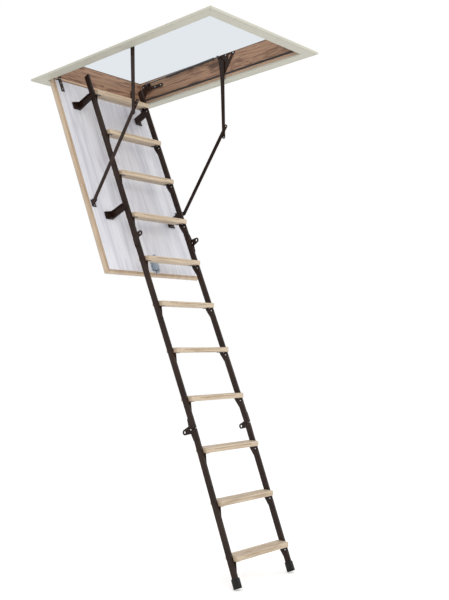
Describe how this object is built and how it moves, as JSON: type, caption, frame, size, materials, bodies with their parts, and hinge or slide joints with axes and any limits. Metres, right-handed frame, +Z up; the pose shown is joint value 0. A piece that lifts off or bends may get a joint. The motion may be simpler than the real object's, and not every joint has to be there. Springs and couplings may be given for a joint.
{
  "type": "folding attic ladder",
  "caption": "Insulated ceiling hatch in a wooden box with a folding steel ladder with wooden treads, stay arms and gas struts, shown open.",
  "frame": {"origin": "middle of the hinge-end trim board's upper face, where it presses against the ceiling", "axes": "+Z up into the attic, -Y along the hatch towards its latch end, the side that a climber stands on, and X across the hatch"},
  "size_m": [0.8, 1.3, 2.6621],
  "materials": {
    "pine": "planed knotty pine, clear satin",
    "beech": "pale planed wood, satin",
    "rim_wood": "pale planed softwood",
    "trim_paint": "light beige-grey paint, satin",
    "white_panel": "white foil-faced board, satin",
    "insulation": "pale foam board",
    "seal_rubber": "matt black",
    "brown_steel": "dark brown powder coat, semi-gloss",
    "strut_black": "black enamel",
    "zinc": "zinc plated",
    "black_plastic": "matt black moulding"
  },
  "bodies": {
    "hatch": {"frame_wall_left": "pine", "frame_wall_right": "pine", "frame_wall_hinge_end": "pine", "frame_wall_latch_end": "pine", "ceiling_trim": "trim_paint", "lid_seal": "seal_rubber", "arm_bracket_left": "brown_steel", "arm_bracket_right": "brown_steel", "strut_anchor_left": "brown_steel", "strut_anchor_right": "brown_steel", "strut_rod_left": "zinc", "strut_rod_right": "zinc", "lid_hinge_wall_leaf_left": "brown_steel", "lid_hinge_wall_leaf_right": "brown_steel", "lid_hinge_pin_left": "zinc", "lid_hinge_pin_right": "zinc", "strike_plate": "zinc"},
    "lid": {"lid_outer_skin": "white_panel", "lid_rim": "rim_wood", "lid_insulation": "insulation", "lid_inner_panel": "white_panel", "lid_hinge_strap_left": "brown_steel", "lid_hinge_strap_right": "brown_steel", "latch_housing": "zinc", "lower_arm_foot_left": "brown_steel", "lower_arm_foot_right": "brown_steel", "stile_bracket_upper_left": "brown_steel", "stile_bracket_upper_right": "brown_steel", "stile_bracket_lower_left": "brown_steel", "stile_bracket_lower_right": "brown_steel", "upper_stile_left": "brown_steel", "upper_stile_right": "brown_steel", "tread_01": "beech", "tread_02": "beech", "tread_03": "beech", "tread_04": "beech"},
    "middle_section": {"middle_stile_left": "brown_steel", "middle_stile_right": "brown_steel", "tread_05": "beech", "tread_06": "beech", "tread_07": "beech", "tread_08": "beech", "fold_1_pin_left": "zinc", "fold_1_pin_right": "zinc", "fold_2_pin_left": "zinc", "fold_2_pin_right": "zinc"},
    "bottom_section": {"bottom_stile_left": "brown_steel", "bottom_stile_right": "brown_steel", "tread_09": "beech", "tread_10": "beech", "tread_11": "beech", "foot_left": "black_plastic", "foot_right": "black_plastic"},
    "upper_arm_left": {"upper_arm_left": "brown_steel"},
    "upper_arm_right": {"upper_arm_right": "brown_steel"},
    "lower_arm_left": {"lower_arm_left": "brown_steel"},
    "lower_arm_right": {"lower_arm_right": "brown_steel"},
    "strut_cylinder_left": {"strut_cylinder_left": "strut_black"},
    "strut_cylinder_right": {"strut_cylinder_right": "strut_black"},
    "latch_bolt": {"latch_bolt": "zinc"}
  },
  "joints": [
    {"name": "lid_hinge", "type": "hinge", "parent": "hatch", "child": "lid", "pos_m": [0, -0.046, -0.002], "axis": [-1, 0, 0], "range_deg": [0, 55]},
    {"name": "ladder_fold", "type": "hinge", "parent": "lid", "child": "middle_section", "pos_m": [0, -0.58398, -0.88343], "axis": [-1, 0, 0], "range_deg": [0, 180]},
    {"name": "foot_section_fold", "type": "hinge", "parent": "middle_section", "child": "bottom_section", "pos_m": [0, -0.85399, -1.85539], "axis": [1, 0, 0], "range_deg": [0, 178.5]},
    {"name": "upper_arm_pivot_left", "type": "hinge", "parent": "hatch", "child": "upper_arm_left", "pos_m": [-0.3265, -0.696, 0.084], "axis": [1, 0, 0], "range_deg": [0, 76.5]},
    {"name": "lower_arm_pivot_left", "type": "hinge", "parent": "lid", "child": "lower_arm_left", "pos_m": [-0.321, -0.384, -0.7], "axis": [-1, 0, 0], "range_deg": [0, 59]},
    {"name": "strut_slide_left", "type": "slide", "parent": "hatch", "child": "strut_cylinder_left", "axis": [0, -0.9997, 0.0234], "range_m": [0, 0.0535]},
    {"name": "upper_arm_pivot_right", "type": "hinge", "parent": "hatch", "child": "upper_arm_right", "pos_m": [0.3265, -0.696, 0.084], "axis": [1, 0, 0], "range_deg": [0, 76.5]},
    {"name": "lower_arm_pivot_right", "type": "hinge", "parent": "lid", "child": "lower_arm_right", "pos_m": [0.321, -0.384, -0.7], "axis": [-1, 0, 0], "range_deg": [0, 59]},
    {"name": "strut_slide_right", "type": "slide", "parent": "hatch", "child": "strut_cylinder_right", "axis": [0, -0.9997, 0.0234], "range_m": [0, 0.0535]},
    {"name": "latch_bolt_slide", "type": "slide", "parent": "lid", "child": "latch_bolt", "axis": [0, -0.36, -0.933], "range_m": [0, 0.022]}
  ],
  "couplings": [
    {"joint": "foot_section_fold", "follows": "ladder_fold", "ratio": 0.98889},
    {"joint": "upper_arm_pivot_left", "follows": "lid_hinge", "ratio": 1.3815},
    {"joint": "lower_arm_pivot_left", "follows": "lid_hinge", "ratio": 1.0651},
    {"joint": "strut_slide_left", "follows": "lid_hinge", "m_per_rad": 0.055051},
    {"joint": "upper_arm_pivot_right", "follows": "lid_hinge", "ratio": 1.3815},
    {"joint": "lower_arm_pivot_right", "follows": "lid_hinge", "ratio": 1.0651},
    {"joint": "strut_slide_right", "follows": "lid_hinge", "m_per_rad": 0.055051}
  ]
}
